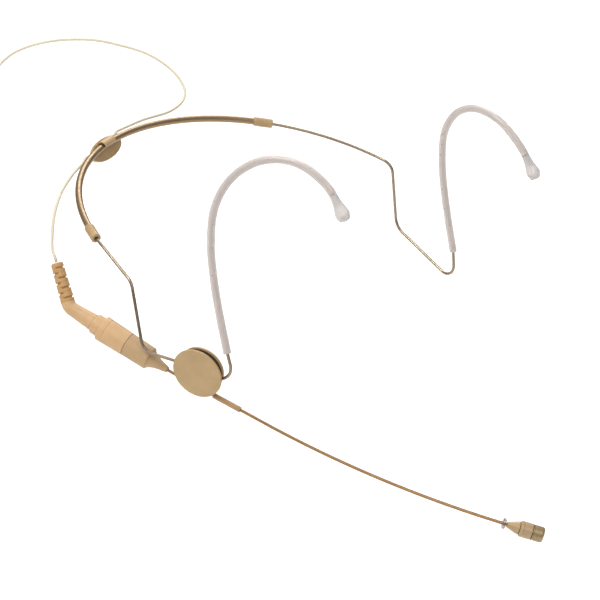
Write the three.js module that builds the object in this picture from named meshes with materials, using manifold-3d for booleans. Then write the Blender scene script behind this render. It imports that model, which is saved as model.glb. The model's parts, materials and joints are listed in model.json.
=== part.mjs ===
// Headset microphone: a sprung neckband with two sliding ear hooks, a hub clipped on the wearer's
// right-hand wire, and a boom with a small condenser capsule, which is fed through a plug behind the hub.
// Millimetres, +Z up. The wearer faces -Y and has the left ear at +X.
// The origin lies midway between the places where the two hooks rest on the ears.
import * as THREE from 'three';
import { mergeVertices } from 'three/addons/utils/BufferGeometryUtils.js';
import Module from 'manifold-3d';

const wasm = await Module();
wasm.setup();

const DEG = Math.PI / 180;

// ---- driving dimensions ----
const WIRE_R = 0.575;
const NECK = { radius: 76.2, tilt: 16, centre: new THREE.Vector3(0, 48.4, -44.7) };
const TUBE = { r: 1.3, bore: 0.85, rightEnd: 63.2, leftEnd: -45.4 };
const CAP = { r: 1.8, beyond: 4.2, overTube: 3.4 };
const RIGHT_SIDE = { sign: -1, base: [-70, 19, -65], yaw: 14, lean: 6.6, pitch: 0 };
const LEFT_SIDE = { sign: 1, base: [70, 18, -70.8], yaw: 15.8, lean: 8.9, pitch: 9.9, splay: 2.4 };
const SHOULDER = { right: [84.6, 0.8, -2.7], left: [-87.4, 0, 0] };
const ARC_END = { right: 70, left: -82.4 };
const INNER_END_ANGLE = { right: 27, left: -19 };
const KNEE = [1.4, 32.6, -4.7];
const HEEL = [1.6, -2.9, -12.8];
const RIGHT_KNEE_STEP = new THREE.Vector3(-3.33, -2.52, 1.71);
const RIGHT_HEEL_STEP = new THREE.Vector3(0, 0, 1.1);
const BEND_R = { shoulder: 5, knee: 6, hubEntry: 9, heel: 4.8 };
const HOOK = [[0, 0], [-3.3, 12.6], [-6.1, 25.4], [-7.7, 38.3], [-6.7, 51.2], [-0.6, 62.3],
  [10.3, 69.5], [22.9, 70], [33.9, 63.6], [40.2, 54.2]];
const HOOK_TOP = 6;
const SLEEVE = { r: 1.42, bore: 0.72, tipR: 2.5, tipLength: 9.9 };
const HUB = { r: 9.45, backR: 8.4, fromHeel: 14.2, toEntry: 10.4, faceForward: 10.84, faceUp: -8.7 };
const COVER = { top: 2.1, rim: 1.25, inner: 0.75, bossR: 8.2, backTop: -1.65, backBottom: -2.5 };
const BOOM = { r: 0.57, below: 6.88, drop: 7.7, lead: 26.6, bendR: 305, bendRoll: 87.9, curved: 91.7 };
const SOCKET = { bendX: -11.6, forward: 0.6, roll: -31.4, turn: 3.8,
  tipX: -12.7, frontX: -20.1, seamX: -29.9, ringX: -41.1, collarX: -44.4 };
const ELBOW = { r: 2.5, baseR: 3.1, cornerX: -55.1, turn: 42.2, bendR: 4.2, straight: 1.9, bootLength: 14.4 };
const CLIP = { angle: 11.1, tilt: 44, drop: 1.7, halfLength: 10.6, halfHeight: 4.1, thick: 1.2,
  hookFrom: -4.8, hookTo: 2.8 };
const CABLE = { r: 0.55 };
const COIL = { r: 6.55, rows: 5, columns: 6, pitch: 1.16, tieAngle: 40,
  centre: new THREE.Vector3(61.4, 271.8, -88), side: new THREE.Vector3(-0.6, 0.8, 0) };
const JACK = { drop: 14 };

const TAN = 0xb8976c;
const PEACH = 0xcca57a;
const STEEL = 0x8d8378;
const BRONZE = 0x8a6a48;
const COPPER = 0xa5805c;
const CLEAR = 0xdcd6d0;
const CREAM = 0xe9dcc0;
const DARK = 0x3a342c;
const BRASS = 0x9d8b58;
const GOLD = 0xc9a552;

// ---- placing helpers ----
const vec = (x, y, z) => new THREE.Vector3(x, y, z);

function neckPoint(angle, out = 0, up = 0) {
  const a = angle * DEG;
  const r = NECK.radius + out;
  const p = vec(-r * Math.sin(a), r * Math.cos(a), up);
  return p.applyAxisAngle(vec(1, 0, 0), NECK.tilt * DEG).add(NECK.centre);
}

// Basis at a place on the neckband: X along the tube to the wearer's left, Y away from the head, Z up.
function neckFrame(angle) {
  const along = neckPoint(angle + 0.5).sub(neckPoint(angle - 0.5)).normalize();
  const out = neckPoint(angle, 1).sub(neckPoint(angle)).normalize();
  const up = vec(0, 0, 0).crossVectors(along, out).negate();
  return new THREE.Matrix4().makeBasis(along.clone().negate(), out, up).setPosition(neckPoint(angle));
}

// A side's own frame: x towards the head, y backwards, z up, from the hook sleeve's lower end.
function sideMatrix(side) {
  const turn = new THREE.Matrix4().makeRotationZ(side.yaw * DEG);
  turn.multiply(new THREE.Matrix4().makeRotationY(side.lean * DEG));
  turn.multiply(new THREE.Matrix4().makeRotationX(side.pitch * DEG));
  const mirror = new THREE.Matrix4().makeScale(-side.sign, 1, 1);
  return new THREE.Matrix4().makeTranslation(...side.base).multiply(mirror).multiply(turn);
}

const sidePoint = (side, x, y, z) => vec(x, y, z).applyMatrix4(sideMatrix(side));

// A path given by its own stations, so that bends have short steps and straights have long ones.
class Stations extends THREE.Curve {
  constructor(points) {
    super();
    this.points = points;
  }

  getPointAt(u, target = new THREE.Vector3()) {
    const s = u * (this.points.length - 1);
    const i = Math.min(Math.floor(s + 1e-6), this.points.length - 2);
    return target.lerpVectors(this.points[i], this.points[i + 1], s - i);
  }

  getPoint(t, target) {
    return this.getPointAt(t, target);
  }

  getTangentAt(u, target = new THREE.Vector3()) {
    const i = Math.round(u * (this.points.length - 1));
    const before = this.points[Math.max(i - 1, 0)];
    const here = this.points[i];
    const after = this.points[Math.min(i + 1, this.points.length - 1)];
    const into = here.clone().sub(before).normalize();
    const away = after.clone().sub(here).normalize();
    return target.copy(into).add(away).normalize();
  }
}

// Corners are rounded to their own radius; a corner without a radius stays as a station.
function roundedPath(corners, turnStep = 18) {
  const out = [];
  corners.forEach(({ p, r }, i) => {
    if (!r) {
      out.push(p);
      return;
    }
    const u = corners[i - 1].p.clone().sub(p).normalize();
    const v = corners[i + 1].p.clone().sub(p).normalize();
    const turn = Math.PI - u.angleTo(v);
    const centre = u.clone().add(v).normalize().multiplyScalar(r / Math.cos(turn / 2)).add(p);
    const start = u.clone().multiplyScalar(r * Math.tan(turn / 2)).add(p).sub(centre);
    const axis = vec(0, 0, 0).crossVectors(v, u).normalize();
    const steps = Math.max(2, Math.round(turn / DEG / turnStep));
    for (let k = 0; k <= steps; k += 1) {
      out.push(start.clone().applyAxisAngle(axis, (turn * k) / steps).add(centre));
    }
  });
  return out;
}

const smoothPoints = (points, count) => new THREE.CatmullRomCurve3(points, false, 'centripetal')
  .getSpacedPoints(count);

function circleShape(r, sides, holeR = 0) {
  const ring = (radius) => Array.from({ length: sides }, (_, i) => new THREE.Vector2(
    radius * Math.cos((2 * Math.PI * i) / sides),
    radius * Math.sin((2 * Math.PI * i) / sides),
  ));
  const shape = new THREE.Shape(ring(r));
  if (holeR) {
    shape.holes.push(new THREE.Path(ring(holeR)));
  }
  return shape;
}

function sweep(points, r, sides = 8, holeR = 0) {
  return new THREE.ExtrudeGeometry(circleShape(r, sides, holeR), {
    steps: points.length - 1,
    extrudePath: new Stations(points),
    curveSegments: 1,
    bevelEnabled: false,
  });
}

// Turned shape about X: profile points are [x, radius] and close on themselves or on the axis.
function turned(profile, segments = 20) {
  const points = profile.map(([x, r]) => new THREE.Vector2(r, x));
  return new THREE.LatheGeometry(points, segments).rotateZ(-Math.PI / 2);
}

const hollow = (x0, x1, r, bore, segments) => turned(
  [[x0, bore], [x0, r], [x1, r], [x1, bore], [x0, bore]],
  segments,
);

// ---- joining and cutting ----
function toSolid(geometry) {
  const plain = geometry.index ? geometry.toNonIndexed() : geometry.clone();
  plain.deleteAttribute('normal');
  plain.deleteAttribute('uv');
  const merged = mergeVertices(plain, 1e-4);
  const mesh = new wasm.Mesh({
    numProp: 3,
    vertProperties: new Float32Array(merged.attributes.position.array),
    triVerts: new Uint32Array(merged.index.array),
  });
  return new wasm.Manifold(mesh);
}

function toGeometry(solid) {
  const mesh = solid.getMesh();
  const geometry = new THREE.BufferGeometry();
  geometry.setAttribute('position', new THREE.BufferAttribute(new Float32Array(mesh.vertProperties), 3));
  geometry.setIndex(new THREE.BufferAttribute(new Uint32Array(mesh.triVerts), 1));
  return geometry;
}

const cut = (body, ...tools) => toGeometry(
  tools.reduce((rest, tool) => rest.subtract(toSolid(tool)), toSolid(body)),
);
const join = (...parts) => toGeometry(
  parts.map(toSolid).reduce((sum, part) => sum.add(part)),
);

const headset = new THREE.Group();

function addPart(name, geometry, color, roughness, metalness = 0, parent = headset) {
  const material = new THREE.MeshStandardMaterial({ color, roughness, metalness });
  const mesh = new THREE.Mesh(geometry, material);
  mesh.name = name;
  parent.add(mesh);
  return mesh;
}

function frameGroup(matrix, parent = headset) {
  const group = new THREE.Group();
  group.applyMatrix4(matrix);
  parent.add(group);
  return group;
}

// ---- neckband ----
function arcPoints(from, to, step = 3.6) {
  const count = Math.ceil(Math.abs(to - from) / step);
  return Array.from({ length: count + 1 }, (_, i) => neckPoint(from + ((to - from) * i) / count));
}

function addNeckband() {
  addPart('neckband_tube', sweep(arcPoints(TUBE.leftEnd, TUBE.rightEnd), TUBE.r, 12, TUBE.bore),
    BRONZE, 0.35, 0.9);
  for (const [side, end, sign] of [['right', TUBE.rightEnd, 1], ['left', TUBE.leftEnd, -1]]) {
    const degrees = (mm) => (sign * mm) / NECK.radius / DEG;
    const group = frameGroup(neckFrame(end));
    const { r, beyond, overTube } = CAP;
    const seat = TUBE.r + 0.14;
    const profile = [[-overTube, seat], [-overTube, r - 0.15], [-overTube + 0.5, r], [beyond - 0.8, r],
      [beyond, r - 0.45], [beyond, TUBE.bore], [1.9, TUBE.bore], [1.9, seat], [-overTube, seat]];
    const cap = turned(profile);
    addPart(`end_cap_${side}`, sign > 0 ? cap.rotateY(Math.PI) : cap, TAN, 0.6, 0, group);
    const bushFrom = end + degrees(0.3);
    addPart(`bush_${side}`, sweep(arcPoints(bushFrom, bushFrom + degrees(1.4), 1), 1.2, 12, 0.68),
      DARK, 0.5);
  }
}

// ---- wires, sleeves and tips ----
function hookPoints(side) {
  const bow = (i) => -(side.splay ?? 0) * (Math.max(0, i - HOOK_TOP) / (HOOK.length - 1 - HOOK_TOP)) ** 2;
  const through = HOOK.map(([forward, up], i) => sidePoint(side, bow(i), -forward, up));
  return smoothPoints(through, 28);
}

function kneeOf(side) {
  const knee = sidePoint(side, ...KNEE);
  return side === RIGHT_SIDE ? knee.add(RIGHT_KNEE_STEP) : knee;
}

function heelOf(side) {
  const heel = sidePoint(side, ...HEEL);
  return side === RIGHT_SIDE ? heel.add(RIGHT_HEEL_STEP) : heel;
}

function wireForward(side) {
  return sidePoint(side, ...HEEL).sub(sidePoint(side, ...KNEE)).normalize();
}

function wirePoints(side) {
  const right = side === RIGHT_SIDE;
  const name = right ? 'right' : 'left';
  const inTube = arcPoints(INNER_END_ANGLE[name], ARC_END[name]).map((p) => ({ p }));
  const heel = heelOf(side);
  const entry = heel.clone().addScaledVector(wireForward(side), -(HUB.fromHeel + HUB.toEntry));
  const hook = hookPoints(side);
  return roundedPath([
    ...inTube,
    { p: neckPoint(...SHOULDER[name]), r: BEND_R.shoulder },
    { p: kneeOf(side), r: BEND_R.knee },
    ...(right ? [{ p: entry, r: BEND_R.hubEntry }] : []),
    { p: heel, r: BEND_R.heel },
    ...hook.slice(0, -1).map((p) => ({ p })),
  ]);
}

function addSide(side) {
  const name = side === RIGHT_SIDE ? 'right' : 'left';
  const path = wirePoints(side);
  addPart(`${name}_wire`, sweep(path, WIRE_R, 8), STEEL, 0.35, 0.9);
  const stop = turned([[-0.7, 0], [-0.7, 0.5], [-0.45, 0.72], [0.35, 0.72], [0.6, 0.5], [0.6, 0]], 12);
  const inner = INNER_END_ANGLE[name];
  const beyond = (side === RIGHT_SIDE ? -1 : 1) * (1 / NECK.radius / DEG);
  addPart(`${name}_wire_stop`, stop, STEEL, 0.4, 0.9, frameGroup(neckFrame(inner + beyond)));
  const hook = hookPoints(side);
  addPart(`${name}_ear_sleeve`, sweep(hook.slice(0, -2), SLEEVE.r, 10, SLEEVE.bore), CLEAR, 0.25);
  addTip(side, name, hook);
}

function addTip(side, name, hook) {
  const seat = hook[hook.length - 3];
  const ahead = hook[hook.length - 1].clone().sub(seat).normalize();
  const turn = new THREE.Quaternion().setFromUnitVectors(vec(1, 0, 0), ahead);
  const place = new THREE.Matrix4().makeRotationFromQuaternion(turn).setPosition(seat);
  const start = 0.3;
  const wireRoom = seat.distanceTo(hook[hook.length - 2]) + 0.5;
  const profile = [[start, 0.78], [start, SLEEVE.r], [2, 1.5], [4, 1.78], [6, 2.3], [7.5, SLEEVE.tipR],
    [8.8, 2.2], [9.6, 1.3], [SLEEVE.tipLength, 0], [wireRoom, 0], [wireRoom, 0.78], [start, 0.78]];
  addPart(`${name}_ear_tip`, turned(profile, 16), 0xf2efec, 0.4, 0, frameGroup(place));
}

// ---- hub, in a frame with x forward along the wire, y up and z outward from the head ----
function hubMatrix() {
  const forward = wireForward(RIGHT_SIDE);
  const a = HUB.faceForward * DEG;
  const e = HUB.faceUp * DEG;
  const face = vec(-Math.cos(e) * Math.cos(a), -Math.cos(e) * Math.sin(a), Math.sin(e));
  face.addScaledVector(forward, -face.dot(forward)).normalize();
  const up = vec(0, 0, 0).crossVectors(face, forward);
  const centre = heelOf(RIGHT_SIDE).addScaledVector(forward, -HUB.fromHeel);
  return new THREE.Matrix4().makeBasis(forward, up, face).setPosition(centre);
}

function disc(z0, z1, r, bore = 0, bevel = 0.4, segments = 32) {
  const outline = [[z0, bore], [z0, r - bevel], [z0 + bevel, r], [z1 - bevel, r], [z1, r - bevel],
    [z1, bore]];
  if (bore) {
    outline.push([z0, bore]);
  }
  return turned(outline, segments).rotateY(-Math.PI / 2).rotateZ(Math.PI / 2);
}

function box(x0, x1, y0, y1, z0, z1) {
  return new THREE.BoxGeometry(x1 - x0, y1 - y0, z1 - z0)
    .translate((x0 + x1) / 2, (y0 + y1) / 2, (z0 + z1) / 2);
}

function addHub(hub) {
  const { top, rim, inner, bossR } = COVER;
  const cover = turned([[inner, 0], [inner, bossR], [rim, bossR], [rim, HUB.r - 0.2], [rim + 0.2, HUB.r],
    [top - 0.4, HUB.r], [top, HUB.r - 0.4], [top, 0]], 36);
  addPart('hub_front_cover', cover.rotateY(-Math.PI / 2).rotateZ(Math.PI / 2), TAN, 0.55, 0, hub);
  const slot = WIRE_R + 0.12;
  const plate = join(disc(-1, 0.45, 3.5, 0, 0.1, 24), disc(-2.45, -0.8, 1.5, 0, 0.1, 16));
  addPart('hub_wire_clamp', cut(plate, box(-5, 5, -slot, slot, -0.7, 1)), TAN, 0.6, 0, hub);
  addPart('hub_friction_washer', disc(-1.45, -1.2, 3, 1.75, 0.05, 24), DARK, 0.7, 0, hub);
  addPart('hub_rivet', disc(-3.25, -2.7, 2.7, 0, 0.2, 20), STEEL, 0.4, 0.9, hub);
}

// The boom's own frame: x along the straight part, which tips down from the wire's line.
function boomMatrix() {
  const place = new THREE.Matrix4().makeTranslation(0, -BOOM.below, 0);
  return hubMatrix().multiply(place).multiply(new THREE.Matrix4().makeRotationZ(-BOOM.drop * DEG));
}

function addSwivel(hub, boom) {
  addPart('hub_back_cover', disc(COVER.backBottom, COVER.backTop, HUB.backR, 1.75, 0.3), TAN, 0.6, 0, hub);
  const bore = turned([[-6, 0], [-6, 0.7], [6, 0.7], [6, 0]], 12);
  addPart('boom_guide', cut(box(-3, 3, -1.2, 1.2, -1.35, 0.55), bore), TAN, 0.6, 0, boom);
  addPart('boom_sleeve', hollow(6.6, 17.5, 1.02, 0.7, 14), COPPER, 0.5, 0.3, boom);
}

// ---- boom and capsule ----
function boomPoints() {
  const roll = BOOM.bendRoll * DEG;
  const behind = vec(-1, 0, 0).transformDirection(socketMatrix());
  const bend = vec(SOCKET.bendX + SOCKET.forward, 0, 0);
  const rear = [14.4, 8, 0.7].map((s) => bend.clone().addScaledVector(behind, s));
  const straight = [...rear, ...[-10.4, 0, 10, 20].map((x) => vec(x, 0, 0))];
  const steps = 30;
  const curved = Array.from({ length: steps + 1 }, (_, i) => {
    const a = (BOOM.curved * i) / steps / BOOM.bendR;
    const side = BOOM.bendR * (1 - Math.cos(a));
    return vec(BOOM.lead + BOOM.bendR * Math.sin(a), side * Math.cos(roll), -side * Math.sin(roll));
  });
  return [...straight, ...curved];
}

function capsuleMatrix(points) {
  const end = points[points.length - 1];
  const a = BOOM.curved / BOOM.bendR;
  const roll = BOOM.bendRoll * DEG;
  const ahead = vec(Math.cos(a), Math.sin(a) * Math.cos(roll), -Math.sin(a) * Math.sin(roll));
  const turn = new THREE.Quaternion().setFromUnitVectors(vec(1, 0, 0), ahead);
  return new THREE.Matrix4().makeRotationFromQuaternion(turn).setPosition(end);
}

function addBoom(boom) {
  const points = boomPoints();
  addPart('boom_tube', sweep(points, BOOM.r, 8), COPPER, 0.4, 0.6, boom);
  const tip = frameGroup(capsuleMatrix(points), boom);
  const ring = Array.from({ length: 9 }, (_, i) => [
    -1.3 + 0.62 * Math.cos((i * Math.PI) / 4), 1.32 + 0.62 * Math.sin((i * Math.PI) / 4)]).reverse();
  addPart('drip_ring', turned(ring, 16), CLEAR, 0.2, 0, tip);
  const bore = BOOM.r + 0.12;
  const cone = [[-0.3, bore], [-0.3, 0.95], [-0.1, 1.05], [3.9, 2.35], [4.1, 2.25], [4.1, 0], [0.3, 0],
    [0.3, bore], [-0.3, bore]];
  addPart('capsule_cone', turned(cone), TAN, 0.5, 0, tip);
  addPart('capsule_body', turned([[4.3, 0], [4.3, 2.55], [4.6, 2.85], [8.6, 2.85], [8.6, 2.2],
    [5.3, 2.2], [5.3, 0]]), TAN, 0.55, 0, tip);
  addPart('mic_element', turned([[5.6, 0], [5.6, 1.9], [9.4, 1.9], [9.4, 0]], 20), DARK, 0.4, 0.5, tip);
  addPart('mesh_cap', turned([[8.85, 2.25], [8.85, 2.78], [12.3, 2.78], [12.8, 2.4], [12.8, 0],
    [12.2, 0], [12.2, 2.25], [8.85, 2.25]]), BRASS, 0.35, 0.8, tip);
}

// ---- socket on the boom's rear end; its frame's x runs forward along the socket's axis ----
function socketMatrix() {
  const turn = new THREE.Matrix4().makeTranslation(SOCKET.bendX + SOCKET.forward, 0, 0);
  turn.multiply(new THREE.Matrix4().makeRotationX(SOCKET.roll * DEG));
  turn.multiply(new THREE.Matrix4().makeRotationZ(-SOCKET.turn * DEG));
  return turn.multiply(new THREE.Matrix4().makeTranslation(-SOCKET.bendX, 0, 0));
}

function addSocket(socket) {
  const { tipX, frontX, seamX, ringX, collarX } = SOCKET;
  const cone = [[tipX, 0.67], [tipX, 1.05], [tipX - 1, 1.3], [-16, 1.7], [-18, 2.3], [-19.3, 3],
    [frontX + 0.3, 3.5], [frontX + 0.3, 0.67], [tipX, 0.67]].reverse();
  addPart('socket_cone', turned(cone), TAN, 0.55, 0, socket);
  const housing = [[frontX, 0.9], [frontX, 3.8], [frontX - 0.4, 4.15], [seamX + 0.15, 4.3],
    [seamX + 0.15, 3.3], [-36, 3.3], [-36, 2.6], [-23, 2.6], [-23, 0.9], [frontX, 0.9]].reverse();
  addPart('socket_housing', turned(housing, 24), TAN, 0.55, 0, socket);
  const insert = turned([[-29.5, 0], [-29.5, 2.3], [-27.3, 2.3], [-27.3, 0]], 16);
  addPart('socket_insert', insert, DARK, 0.5, 0, socket);
  const ring = [[ringX, 2.3], [ringX, 4.4], [ringX + 0.3, 4.65], [seamX - 0.15, 4.35],
    [seamX - 0.15, 3.6], [-39.6, 3.6], [-39.6, 2.3], [ringX, 2.3]];
  addPart('coupling_ring', turned(ring, 24), PEACH, 0.55, 0, socket);
  const collar = [[collarX, 0], [collarX, 3.4], [collarX + 0.3, 3.7], [ringX - 0.3, 3.7], [ringX - 0.3, 2],
    [-39.3, 2], [-39.3, 3.3], [-37.2, 3.3], [-37.2, 0]];
  addPart('plug_collar', turned(collar), PEACH, 0.55, 0, socket);
  const pins = [0, 120, 240].map((a) => turned([[-32, 0], [-32, 0.35], [-29.8, 0.35], [-29.8, 0]], 8)
    .translate(0, 1.2 * Math.cos(a * DEG), 1.2 * Math.sin(a * DEG)));
  const core = turned([[-36.9, 0], [-36.9, 2.2], [-31.8, 2.2], [-31.8, 0]], 16);
  addPart('plug_pins', join(core, ...pins), GOLD, 0.3, 0.9, socket);
}

function bootFrame() {
  const a = (180 - ELBOW.turn) * DEG;
  const along = vec(Math.cos(a), Math.sin(a), 0);
  const corner = vec(ELBOW.cornerX, 0, 0);
  return { corner, along, angle: a };
}

function addElbow(socket) {
  const { corner, along, angle } = bootFrame();
  const end = corner.clone().addScaledVector(along, ELBOW.straight);
  const taperEnd = ELBOW.cornerX + 2;
  const path = roundedPath([{ p: vec(taperEnd + 0.5, 0, 0) }, { p: corner, r: ELBOW.bendR }, { p: end }], 12);
  const start = SOCKET.collarX - 0.3;
  const taper = turned([[taperEnd, 0], [taperEnd, ELBOW.r + 0.02], [start, ELBOW.baseR], [start, 0]], 16);
  addPart('plug_elbow', join(taper, sweep(path, ELBOW.r, 16)), PEACH, 0.6, 0, socket);
  const profile = [[0.3, 0], [0.3, 2.6]];
  const ribs = 6;
  const pitch = (ELBOW.bootLength - 1.4) / ribs;
  for (let i = 0; i < ribs; i += 1) {
    const x = 1.2 + i * pitch;
    const r = 2.6 - (0.4 * i) / ribs;
    profile.push([x, r], [x + 0.15, r - 0.55], [x + 0.6, r - 0.55], [x + 0.75, r]);
  }
  profile.push([ELBOW.bootLength, 2.15], [ELBOW.bootLength, 0]);
  const place = new THREE.Matrix4().makeRotationZ(angle).setPosition(end);
  addPart('ribbed_boot', turned(profile, 14), PEACH, 0.65, 0, frameGroup(place, socket));
}

// ---- cable clip: an oval plate behind the tube, a hook over the tube, a saddle over the cable ----
function addClip() {
  const place = neckFrame(CLIP.angle);
  const clip = frameGroup(place);
  const oval = new THREE.Shape();
  oval.absellipse(0, 0, CLIP.halfLength, CLIP.halfHeight, 0, 2 * Math.PI);
  const plate = new THREE.ExtrudeGeometry(oval, { depth: CLIP.thick, curveSegments: 10, bevelEnabled: false })
    .rotateX(-Math.PI / 2)
    .translate(0, TUBE.r + 0.35, -CLIP.drop);
  const around = sweep(arcPoints(CLIP.angle - 9, CLIP.angle + 9), TUBE.r + 0.3, 16)
    .applyMatrix4(place.clone().invert());
  const { hookFrom, hookTo } = CLIP;
  const outer = TUBE.r + 0.9;
  const pipe = turned([[hookFrom, 0], [hookFrom, outer], [hookTo, outer], [hookTo, 0]], 20);
  const hook = cut(pipe, box(hookFrom - 1, hookTo + 1, -4, 4, -4, -0.5));
  addPart('clip_plate', cut(join(plate, hook).rotateX(-CLIP.tilt * DEG), around), TAN, 0.6, 0, clip);
  const behind = TUBE.r + 0.35 + CLIP.thick + 0.3;
  const arch = cut(box(-3, 3, behind, 6, -4, 0.1), box(-4, 4, behind - 1, 5.1, -3, -0.8));
  addPart('clip_saddle', arch.rotateX(-CLIP.tilt * DEG), TAN, 0.6, 0, clip);
}

// ---- cable: one route from the plug's boot to the coil ----
const CABLE_ROUTE = [[-77.9, 91.8, -40.9], [-75, 94.3, -37.4], [-67.6, 99.8, -32.8], [-57.5, 105.9, -29.4],
  [-50.2, 109.5, -28], [-43, 112.7, -27]];
const AT_CLIP = [[24, 2.3, -2.3], [20, 3, -2.9], [16.8, 2.9, -3.7], [13.8, 1.8, -4.3], [9.2, 1.8, -4.3],
  [5.6, 3.1, -3], [2.2, 4.1, -1]];
const TAIL_ROUTE = [[-2, 126, -23.6], [12.5, 126.2, -23.2], [26.7, 125, -23.4], [37.5, 127.5, -23],
  [47.5, 133.6, -22.5], [56, 142, -22.2], [67.3, 156, -22.5], [78, 173.3, -23], [86, 190, -24],
  [91.5, 208.5, -25.5], [94, 222, -26.6], [91.4, 231.8, -27.2], [85.4, 239.8, -27.8], [79.4, 247.8, -30],
  [74, 255, -34], [69.8, 260.6, -40.5], [66.2, 265.4, -49.5], [64.2, 268.2, -58]];
const STRETCH = 34;

const coilAxis = vec(COIL.side.y, -COIL.side.x, 0);
const inCoil = (across, up, along) => COIL.centre.clone()
  .addScaledVector(COIL.side, across)
  .addScaledVector(vec(0, 0, 1), up)
  .addScaledVector(coilAxis, along);
const coilOuterR = COIL.r + (COIL.rows - 1) * COIL.pitch / 2;
const coilHalfWidth = (COIL.columns - 1) * COIL.pitch / 2;

function cableCurve() {
  const { corner, along } = bootFrame();
  const place = boomMatrix().multiply(socketMatrix());
  const straight = [0.3, 2.5].map((gap) => corner.clone()
    .addScaledVector(along, ELBOW.straight + ELBOW.bootLength + gap)
    .applyMatrix4(place));
  const top = coilOuterR;
  const intoCoil = [[-3.4, top + 9], [-3.4, top + 4.6], [-2.9, top + 2.4], [-1.7, top + 1.1]]
    .map(([across, up]) => inCoil(across, up, -coilHalfWidth));
  return new THREE.CatmullRomCurve3([
    ...straight,
    ...CABLE_ROUTE.map((p) => vec(...p)),
    ...AT_CLIP.map((p) => neckPoint(...p)),
    ...TAIL_ROUTE.map((p) => vec(...p)),
    ...intoCoil,
  ], false, 'centripetal');
}

function addCable() {
  const curve = cableCurve();
  curve.arcLengthDivisions = 2000;
  const length = curve.getLength();
  const span = (from, to, steps) => Array.from({ length: steps + 1 }, (_, i) => (
    curve.getPointAt((from + ((to - from) * i) / steps) / length)));
  const gap = 0.15;
  const parts = [
    ['cable_lower', 0, STRETCH - gap, 12],
    ['cable_middle', STRETCH + gap, 2 * STRETCH - gap, 12],
    ['cable_tail', 2 * STRETCH + gap, length, 64],
  ];
  for (const [name, from, to, steps] of parts) {
    addPart(name, sweep(span(from, to, steps), CABLE.r, 8), CREAM, 0.5);
  }
  const halfRows = coilOuterR - COIL.r + CABLE.r;
  const halfColumns = coilHalfWidth + CABLE.r;
  const [inner, outer] = [COIL.r - halfRows, COIL.r + halfRows];
  const section = [[-halfColumns, inner], [-halfColumns, outer], [halfColumns, outer], [halfColumns, inner],
    [-halfColumns, inner]];
  const coilPlace = new THREE.Matrix4().makeBasis(coilAxis, COIL.side, vec(0, 0, 1)).setPosition(COIL.centre);
  const coil = frameGroup(coilPlace);
  addPart('cable_coil', turned(section, 28), CREAM, 0.5, 0, coil);
  const tieOuter = box(-halfColumns - 1, halfColumns + 1, -1.5, 1.5, inner - 1, outer + 1);
  const tieInner = box(-halfColumns - 0.4, halfColumns + 0.4, -2, 2, inner - 0.45, outer + 0.35);
  const tie = cut(tieOuter, tieInner).rotateX(-COIL.tieAngle * DEG);
  addPart('coil_tie', tie, DARK, 0.6, 0, coil);
  addJack(coil, halfColumns - CABLE.r);
}

function addJack(coil, along) {
  const down = new THREE.Matrix4().makeRotationY(Math.PI / 2).setPosition(along, coilOuterR, 0);
  const jack = frameGroup(down, coil);
  const lead = turned([[5.1, 0], [5.1, CABLE.r], [JACK.drop, CABLE.r], [JACK.drop, 0]], 8);
  addPart('cable_end', lead, CREAM, 0.5, 0, jack);
  const at = (x) => JACK.drop + 0.3 + x;
  const boot = [[at(0), 0], [at(0), 1], [at(10), 2], [at(11.7), 2.6], [at(11.7), 0]];
  addPart('jack_boot', turned(boot, 16), DARK, 0.6, 0, jack);
  const shell = [[at(12), 0], [at(12), 3], [at(12.5), 3.4], [at(25.6), 3.4], [at(25.6), 1.9], [at(28.5), 1.9],
    [at(28.5), 0]];
  addPart('jack_shell', turned(shell, 24), STEEL, 0.35, 0.9, jack);
  const ring = [[at(25.9), 2.2], [at(25.9), 3.9], [at(32.2), 3.9], [at(32.5), 3.6], [at(32.5), 3.1],
    [at(28.8), 3.1], [at(28.8), 2.2], [at(25.9), 2.2]];
  addPart('jack_locking_ring', turned(ring, 24), STEEL, 0.3, 0.9, jack);
  addPart('jack_sleeve', turned([[at(28.8), 0], [at(28.8), 1.75], [at(38.6), 1.75], [at(38.6), 0]], 16),
    GOLD, 0.25, 0.9, jack);
  addPart('jack_insulator', turned([[at(38.8), 0], [at(38.8), 1.7], [at(39.5), 1.7], [at(39.5), 0]], 16),
    DARK, 0.5, 0, jack);
  const tip = [[at(39.7), 0], [at(39.7), 1.75], [at(40.6), 1.75], [at(41.3), 1.25], [at(42), 1.7],
    [at(43.9), 0.5], [at(44), 0]];
  addPart('jack_tip', turned(tip, 16), GOLD, 0.25, 0.9, jack);
}

// ---- assembly ----
addNeckband();
addSide(RIGHT_SIDE);
addSide(LEFT_SIDE);
const hubGroup = frameGroup(hubMatrix());
const boomGroup = frameGroup(boomMatrix());
const socketGroup = frameGroup(socketMatrix(), boomGroup);
addHub(hubGroup);
addSwivel(hubGroup, boomGroup);
addBoom(boomGroup);
addSocket(socketGroup);
addElbow(socketGroup);
addClip();
addCable();

export default headset;
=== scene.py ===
"""Looks for the headset microphone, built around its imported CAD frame.

Lengths are millimetres until a mesh is made, and the driving dimensions are the CAD's own.
"""
import json
import math
from bisect import bisect_right

import bpy
from mathutils import Matrix, Vector


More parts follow.
